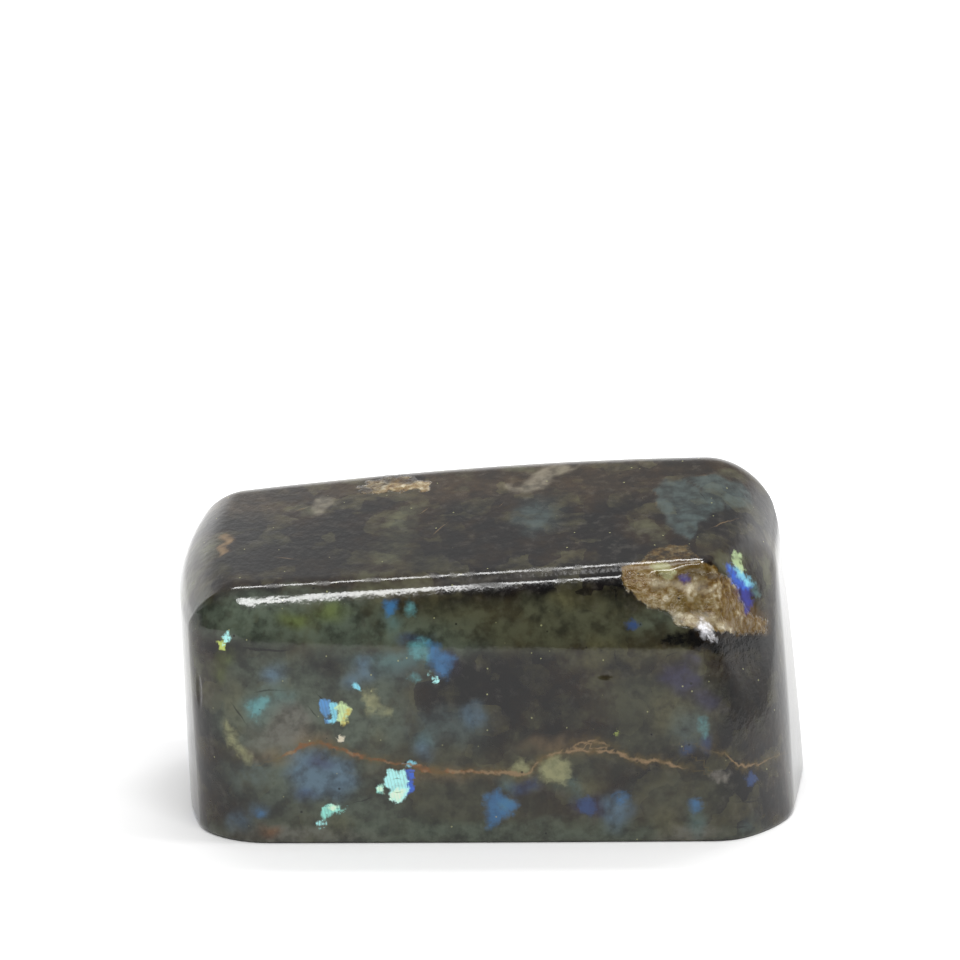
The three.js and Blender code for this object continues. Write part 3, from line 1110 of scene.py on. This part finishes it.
@dataclass(frozen=True)
class Markings:
    """Where the marks fall on the block's points, as values that its mesh can hold."""

    view: View
    points: Array
    normals: Array
    grazing: float = 0.03
    drift_size: float = 3.0
    drift_reach: float = 7.0
    hidden_vein_height: float = 13.5
    hidden_vein_swing: float = 2.4
    hidden_vein_wave: float = 8.0
    hidden_vein_slope: float = 0.2
    hidden_vein_width: float = 1.0

    def values(self) -> dict[str, Array]:
        """All the values that the finish reads.

        Returns:
            A value for each point, by name.
        """
        faced = self.view.faced(self.points, self.normals)
        hidden = faced < self.grazing
        pixels = self.view.pixels(self.points)
        values = {"unseen": smooth(0.2, 0.0, faced), "worn": np.where(hidden, -FAR, self.worn(pixels))}
        for flash in FLASHES:
            values["flash_" + flash.name] = np.where(hidden, -FAR, flash.depth(pixels))
        for name, lines in (("veins", VEINS), ("cracks", CRACKS), ("scratches", SCRATCHES)):
            gap, width = self.nearest(lines, pixels)
            values[name + "_gap"] = np.where(hidden, FAR, gap)
            values[name + "_width"] = np.where(hidden, -FAR, width)
        across, along, up = self.points.T
        swing = self.hidden_vein_swing * np.sin(across / self.hidden_vein_wave)
        around = up - self.hidden_vein_height - swing - self.hidden_vein_slope * along
        values["veins_gap"] = np.where(hidden, around * self.view.scale, values["veins_gap"])
        values["veins_width"] = np.where(hidden, self.hidden_vein_width, values["veins_width"])
        return values

    @staticmethod
    def worn(pixels: Array) -> Array:
        """How deep pixels lie in the worn stretches of the crest's edges, below zero outside them."""
        stretches = []
        for (side, level), spans in WORN_LINES:
            for at, half in spans:
                stretches.append(Oval((at, level + WORN_SLOPE * (at - side)), (half, WORN_HALF_WIDTH)))
        return np.maximum.reduce([stretch.depth(pixels) for stretch in stretches]).clip(-FAR, FAR)

    @staticmethod
    def nearest(lines: list[Line], pixels: Array) -> tuple[Array, Array]:
        """Distances from the nearest of some lines, and the half widths there."""
        gap, width = lines[0].gap(pixels)
        for line in lines[1:]:
            other, wide = line.gap(pixels)
            closer = np.abs(other) < np.abs(gap)
            gap = np.where(closer, other, gap)
            width = np.where(closer, wide, width)
        return gap, width

    def veil(self) -> Array:
        """The soft colours in the stone, with painted shade, a painted sheen and painted highlights among
        them.

        Returns:
            A colour and its cover for each point.
        """
        drift = np.array([noise.noise_vector(Vector(point) / self.drift_size) for point in self.points])
        pixels = self.view.pixels(self.points) + self.drift_reach * drift[:, [0, 2]]
        seen = self.view.faced(self.points, self.normals) > self.grazing
        veil = np.zeros((len(self.points), 4))
        for tint in VEILS:
            cover = tint.cover * smooth(-tint.softness, tint.softness, tint.depth(pixels)) * seen
            shown = cover + veil[:, 3] * (1 - cover)
            share = np.divide(cover, shown, out=np.zeros_like(cover), where=shown > 0)
            veil[:, :3] += (np.array(tint.hue.linear[:3]) - veil[:, :3]) * share[:, None]
            veil[:, 3] = shown
        return veil


@dataclass
class StoneBlock:
    """The block itself, ground from its flats and hollows and then given its fine relief."""

    low: Array
    high: Array
    view: View
    bulge: tuple[float, float] = (0.526, 1.163)
    lines: tuple[int, int] = (210, 88)
    rows: tuple[int, int] = (42, 60)
    crowding: float = 0.72
    heart_height: float = 25.0
    crest_line: float = -21.5
    back_line: float = 25.0
    search_reach: float = 90.0
    search_steps: int = 28
    ripple: float = 0.02
    ripple_size: float = 9.0
    crust_height: float = 0.7
    broad_lump: float = 2.8
    fine_lump: float = 1.2
    broad_share: float = 0.6
    lump_middle: float = 0.55
    pit: Spot = Spot((18.3, -27.0, 30.0), 271, 7, 0, 3.0, 1.5)
    pit_depth: float = 0.22
    pit_softness: float = 0.5
    chip: Spot = Spot((-51.2, -23.4, 25.6), 217, 0, 90, 4.6, 1.2)
    chip_depth: float = 0.2
    chip_softness: float = 0.6
    crust_edge: tuple[float, float] = (-2.0, 4.0)
    crust_margin: float = 4.0
    back_share: float = 0.75
    normal_step: float = 0.02
    polished_above: float = 573.0
    flats: list[Flat] = field(default_factory=list)
    hollows: list[Hollow] = field(default_factory=list)

    def __post_init__(self) -> None:
        """Places the flats and hollows on the block's own box, in millimetres."""
        end_bulge, side_bulge = self.bulge
        left, front = self.low[0] + end_bulge, self.low[1] + side_bulge
        right, back = self.high[0] - end_bulge, self.high[1] - side_bulge
        crest = left + 16
        self.top = Flat(261, 76.7, (crest, front + 6.6, 44.43), 1.2, twist=0.00154)
        self.flats = [
            Flat(271, 1, (0, front, 0), 0, crown=4000),
            Flat(271.5, 27, (0, front, 34.8), 1.2),
            Flat(268, 55, (crest, front + 4.2, 43.64), 2),
            self.top,
            Flat(88, 5, (0, back + 0.4, 20), 7.5, crown=420),
            Flat(182.7, -1.9, (left + 1.8, -2, 20), 8.5, bow=74),
            Flat(-9, 5.6, (right - 0.1, 0, 8), 12.5, crown=1200),
            Flat(-38, 11, (right - 16.8, front, 26), 3),
            Flat(-38, 16, (right - 13.4, front + 6.15, 31.6), 1.2),
            Flat(222, 17, (left + 2.4, front, 35), 3),
            Flat(0, -90, (0, 0, -0.25), 1.3),
        ]
        self.pocket = Hollow((35.4, -21.7, 41.6), 294, 30, -20, 25, 8.4, depth=1.3, rim=1.2, lumps=0.3)
        self.back_pocket = Hollow((-22, 27.2, 33), 93, 6, 24, 25, 12, depth=1.4, rim=0.9, lumps=0.3)
        self.hollows = [self.pocket, self.back_pocket]

    def outside(self, points: Array) -> Array:
        """How far points are outside the stone: below zero inside it."""
        height = np.full(len(points), -np.inf)
        for face in self.flats:
            height = meet(height, face.height(points), face.arris)
        for hollow in self.hollows:
            height = meet(height, hollow.height(points), hollow.rim)
        return height

    def way_out(self, starts: Array, directions: Array) -> Array:
        """The places where straight lines come out of the stone.

        Args:
            starts: Points inside the stone.
            directions: A unit vector for each start.

        Returns:
            Points on the surface.
        """
        inside = np.zeros(len(starts))
        outside = np.full(len(starts), self.search_reach)
        for _ in range(self.search_steps):
            middle = (inside + outside) / 2
            within = self.outside(starts + directions * middle[:, None]) < 0
            inside = np.where(within, middle, inside)
            outside = np.where(within, outside, middle)
        return starts + directions * inside[:, None]

    def net(self) -> tuple[Array, list[list[int]]]:
        """The net of points that is drawn over the block, on the surface.

        Returns:
            The points, and the faces as lists of point numbers.
        """
        across, along = self.lines
        lower, upper = self.rows
        count = lower + upper
        i, j, k = np.indices((across + 1, along + 1, count + 1))
        shell = (i == 0) | (i == across) | (j == 0) | (j == along) | (k == count)
        number = np.full(shell.shape, -1)
        number[shell] = np.arange(shell.sum())
        side = crowd(2 * i[shell] / across - 1, self.crowding) * self.high[0]
        share = crowd(2 * j[shell] / along - 1, self.crowding) / 2 + 0.5
        deep = self.crest_line + share * (self.back_line - self.crest_line)
        below = np.clip((k[shell] - lower) / lower, -1, 0)
        above = crowd(np.clip((k[shell] - lower) / upper, 0, 1), self.crowding)
        starts = np.zeros((len(side), 3))
        starts[:, 2] = self.heart_height + below * self.heart_height
        directions = np.stack([side, deep, above * (self.top.level(side, deep) - self.heart_height)], axis=1)
        directions /= np.linalg.norm(directions, axis=1, keepdims=True)
        points = self.way_out(starts, directions)
        sheets = [
            number[:, 0, :],
            number[::-1, along, :],
            number[0, ::-1, :],
            number[across, :, :],
            number[:, :, count],
        ]
        faces = [quad for sheet in sheets for quad in self.quads(sheet)]
        rim = [
            *number[:, 0, 0],
            *number[across, 1:, 0],
            *number[across - 1 :: -1, along, 0],
            *number[0, along - 1 : 0 : -1, 0],
        ]
        faces.append([int(corner) for corner in rim[::-1]])
        return points, faces

    @staticmethod
    def quads(sheet: Array) -> list[list[int]]:
        """The four-sided faces of one sheet of numbered points."""
        corners = [sheet[:-1, :-1], sheet[1:, :-1], sheet[1:, 1:], sheet[:-1, 1:]]
        return np.stack([corner.ravel() for corner in corners], axis=1).tolist()

    def normals(self, points: Array) -> Array:
        """The outward directions of the surface at points on it."""
        slopes = []
        for step in self.normal_step * np.eye(3):
            slopes.append(self.outside(points + step) - self.outside(points - step))
        normals = np.stack(slopes, axis=1)
        return normals / np.linalg.norm(normals, axis=1, keepdims=True)

    def crust(self, points: Array, placed: Array, normals: Array) -> tuple[Array, Array]:
        """Where the weathered crust lies, in pixels of the view.

        Args:
            points: Points on the ground surface.
            placed: The same points in the frame.
            normals: The outward directions there.

        Returns:
            How deep the points lie inside the crust and inside its rough part, below zero outside them.
        """
        pixels = self.view.pixels(placed)
        pocket = POCKET_CRUST.depth(pixels)
        scab = SCAB.depth(pixels)
        back = (1 - self.back_pocket.reach(points)) * self.back_pocket.width / 2 * self.view.scale
        behind = np.where(placed[:, 1] > self.back_share * self.high[1], back, -FAR)
        seen = self.view.faced(placed, normals) > 0
        rough = np.minimum(pocket, pixels[:, 1] - self.polished_above)
        crust = np.where(seen, np.maximum(pocket, scab), behind)
        grit = np.where(seen, np.maximum(rough, scab), behind)
        return crust.clip(-FAR, FAR), grit.clip(-FAR, FAR)

    def relief(self, points: Array, crust: Array) -> tuple[Array, Array]:
        """The fine relief that is raised on the ground stone.

        Args:
            points: Points on the ground surface, in the frame.
            crust: How deep they lie inside the rough part of the weathered crust.

        Returns:
            Heights in millimetres, and the height of the crust's lumps from 0 to 1.
        """
        lumps = np.full(len(points), 0.5)
        for index in np.nonzero(crust > -self.crust_margin)[0]:
            place = Vector(points[index])
            broad = noise.voronoi(place / self.broad_lump)[0][0]
            fine = noise.voronoi(place / self.fine_lump)[0][0]
            lumps[index] = 1 - self.broad_share * broad - (1 - self.broad_share) * fine
        heights = np.array([self.ripple * noise.noise(Vector(point) / self.ripple_size) for point in points])
        heights += smooth(*self.crust_edge, crust) * (lumps - self.lump_middle) * self.crust_height
        heights -= self.pit_depth * self.pit.inside(points, self.pit_softness)
        heights -= self.chip_depth * self.chip.inside(points, self.chip_softness)
        return heights, lumps

    def build(self) -> bpy.types.Object:
        """Makes the block's mesh.

        Returns:
            The block as an object, in metres.
        """
        points, faces = self.net()
        normals = self.normals(points)
        middle = (points.min(axis=0) + points.max(axis=0)) / 2 - (self.low + self.high) / 2
        placed = points - middle * np.array([1, 1, 0])
        crust, grit = self.crust(points, placed, normals)
        heights, lumps = self.relief(placed, grit)
        markings = Markings(self.view, placed, normals)
        values = markings.values() | {"lumps": lumps, "crust": crust, "grit": grit}
        placed += normals * heights[:, None]
        placed[:, 2] = np.maximum(placed[:, 2], 0)
        mesh = bpy.data.meshes.new("labradorite_stone")
        mesh.from_pydata((placed * MM).tolist(), [], faces)
        mesh.update()
        for name, value in values.items():
            mesh.attributes.new(name, "FLOAT", "POINT").data.foreach_set("value", value.astype(np.float32))
        veil = mesh.attributes.new("veil", "FLOAT_COLOR", "POINT")
        veil.data.foreach_set("color", markings.veil().astype(np.float32).ravel())
        mesh.polygons.foreach_set("use_smooth", [len(face) == 4 for face in faces])
        stone = bpy.data.objects.new("labradorite_stone", mesh)
        bpy.context.collection.objects.link(stone)
        return stone

    def dress(self, stone: bpy.types.Object) -> None:
        """Gives the block its finish and its place in the frame."""
        stone.data.materials.append(PolishedLabradorite().material())
        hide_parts(NODE)
        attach(stone, "root")


@dataclass(frozen=True)
class Softbox:
    """A large soft lamp, placed by its direction from the block, in degrees and metres."""

    name: str
    turn: float
    lean: float
    distance: float
    size: tuple[float, float]
    power: float

    def build(self, aim: Vector) -> bpy.types.Object:
        """Hangs the lamp so that it looks at a point.

        Args:
            aim: The point.

        Returns:
            The lamp.
        """
        light = bpy.data.lights.new(self.name, "AREA")
        light.shape = "RECTANGLE"
        light.size, light.size_y = self.size
        light.energy = self.power
        lamp = bpy.data.objects.new(self.name, light)
        away = Vector(facing(self.turn, self.lean)) * self.distance
        lamp.location = aim + away
        lamp.rotation_euler = away.to_track_quat("Z", "Y").to_euler()
        bpy.context.collection.objects.link(lamp)
        return lamp


@dataclass
class Studio:
    """The plain white surroundings: the floor, the lamps, the sky and the camera."""

    view: View
    floor_size: float = 6.0
    floor_glow: tuple[float, float] = (0.12, 0.95)
    glow_reach: tuple[float, float] = (0.03, 0.25)
    floor_white: tuple[float, float] = (0.9, 0.4)
    dark_reach: tuple[float, float] = (0.18, 0.26)
    backdrop_fall: tuple[float, float] = (0.3, 0.62)
    backdrop_levels: tuple[float, float] = (1.6, 0.62)
    dark_ahead: tuple[float, float] = (-0.15, -0.65)
    dark_beside: tuple[float, float] = (0.5, 0.1)
    dark_below: tuple[float, float] = (0.75, 0.5)
    dim_level: float = 0.05
    sensor: float = 36.0
    lamps: tuple[Softbox, ...] = (
        Softbox("overhead_softbox", 90, 70, 0.9, (0.6, 0.08), 2.4),
        Softbox("front_softbox", 275, 62, 1.0, (0.7, 0.09), 4.6),
        Softbox("key_softbox", 355, 62, 1.2, (0.16, 0.16), 2.7),
        Softbox("zenith_softbox", 0, 84, 1.0, (0.25, 0.16), 0.5),
    )

    def floor(self) -> bpy.types.Object:
        """Lays the floor, which glows a little so that shadows on it stay pale."""
        half = self.floor_size / 2
        mesh = bpy.data.meshes.new("studio_floor")
        corners = [(-half, -half, 0), (half, -half, 0), (half, half, 0), (-half, half, 0)]
        mesh.from_pydata(corners, [], [(0, 1, 2, 3)])
        made = bpy.data.materials.new("white_floor")
        made.use_nodes = True
        graph = Graph(made.node_tree)
        across, along, _ = graph.parts("SeparateXYZ", graph.node("TexCoord", output="Object"))
        glow = graph.rise(along, *self.glow_reach, *self.floor_glow)
        white = graph.rise(across, *self.dark_reach, *self.floor_white)
        paper = graph.node(
            "BsdfPrincipled",
            inputs={
                "Base Color": graph.grey(white),
                "Roughness": 0.9,
                "Emission Color": graph.grey(glow),
                "Emission Strength": 1.0,
            },
        )
        graph.node("OutputMaterial", inputs={"Surface": paper})
        mesh.materials.append(made)
        floor = bpy.data.objects.new("studio_floor", mesh)
        bpy.context.collection.objects.link(floor)
        return floor

    def sky(self) -> None:
        """Surrounds the block with white that is dim on the side of the camera, and plain white behind it."""
        world = bpy.data.worlds.new("white_studio")
        bpy.context.scene.world = world
        world.use_nodes = True
        graph = Graph(world.node_tree)
        _, along, up = graph.parts("SeparateXYZ", graph.node("TexCoord", output="Generated"))
        backdrop = graph.rise(up, *self.backdrop_fall, *self.backdrop_levels)
        front = graph.rise(along, *self.dark_ahead)
        sides = graph.rise(along, *self.dark_beside) * graph.rise(up, *self.dark_below)
        open_share = (1 - front) * (1 - sides)
        level = backdrop * open_share + self.dim_level * (1 - open_share)
        seen = graph.node("LightPath", output="Is Camera Ray")
        level = level * (1 - seen) + seen
        background = graph.node("Background", inputs={"Color": (1, 1, 1, 1), "Strength": level})
        graph.node("OutputWorld", inputs={"Surface": background})

    def camera(self) -> bpy.types.Object:
        """Stands the camera where the photograph was taken from.

        Returns:
            The camera.
        """
        data = bpy.data.cameras.new("photograph_camera")
        data.sensor_width = self.sensor
        data.lens = self.view.focal * self.sensor / self.view.side
        camera = bpy.data.objects.new("photograph_camera", data)
        camera.location = Vector(self.view.eye()) * MM
        camera.rotation_euler = self.view.turn()
        bpy.context.collection.objects.link(camera)
        bpy.context.scene.camera = camera
        return camera

    def build(self) -> None:
        """Sets up everything around the block."""
        self.camera()
        self.floor()
        self.sky()
        for lamp in self.lamps:
            lamp.build(Vector(self.view.aim) * MM)
        bpy.context.scene.view_settings.view_transform = "Standard"


def main() -> None:
    """Builds the block and its surroundings."""
    logging.basicConfig(level=logging.INFO)
    noise.seed_set(NOISE_SEED)
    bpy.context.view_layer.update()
    low, high = (np.array(corner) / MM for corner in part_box(NODE))
    view = View(aim=(0.0, 0.0, float(high[2]) / 2))
    block = StoneBlock(low, high, view)
    stone = block.build()
    block.dress(stone)
    LOG.info("%s: %d faces", stone.name, len(stone.data.polygons))
    Studio(view).build()
    LOG.info("studio built")


if __name__ == "__main__":
    main()
